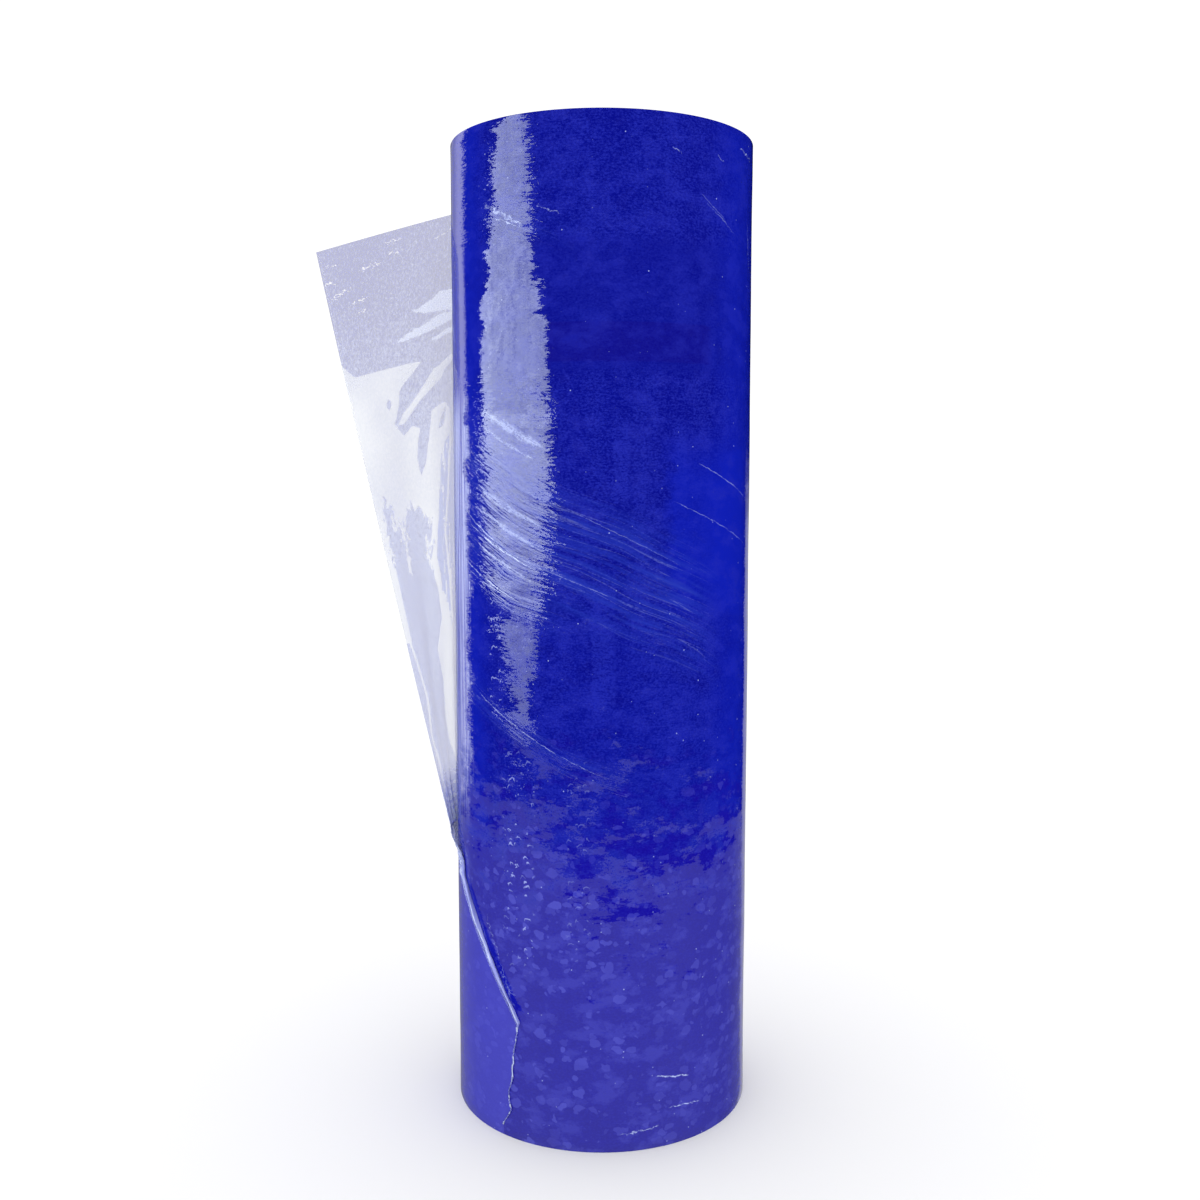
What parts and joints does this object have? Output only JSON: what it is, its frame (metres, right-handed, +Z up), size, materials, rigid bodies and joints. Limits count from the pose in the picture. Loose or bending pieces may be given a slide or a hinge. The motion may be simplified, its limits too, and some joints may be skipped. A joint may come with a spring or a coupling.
{
  "type": "stretch wrap roll",
  "caption": "Hand roll of blue stretch film wound on a cardboard tube, standing on end, with the loose end of the film peeled away at one side.",
  "frame": {"origin": "on the roll's axis, level with the face that it stands on", "axes": "+Z up along the roll's axis, -Y the front; the loose end of the film stands out towards -X at the back"},
  "size_m": [0.2225, 0.1422, 0.4572],
  "materials": {
    "film": "glossy deep blue stretch film, pale and see-through where a single layer hangs loose",
    "core": "plain brown spiral-wound cardboard"
  },
  "bodies": {
    "root": {"film": "film", "core": "core"}
  },
  "joints": []
}
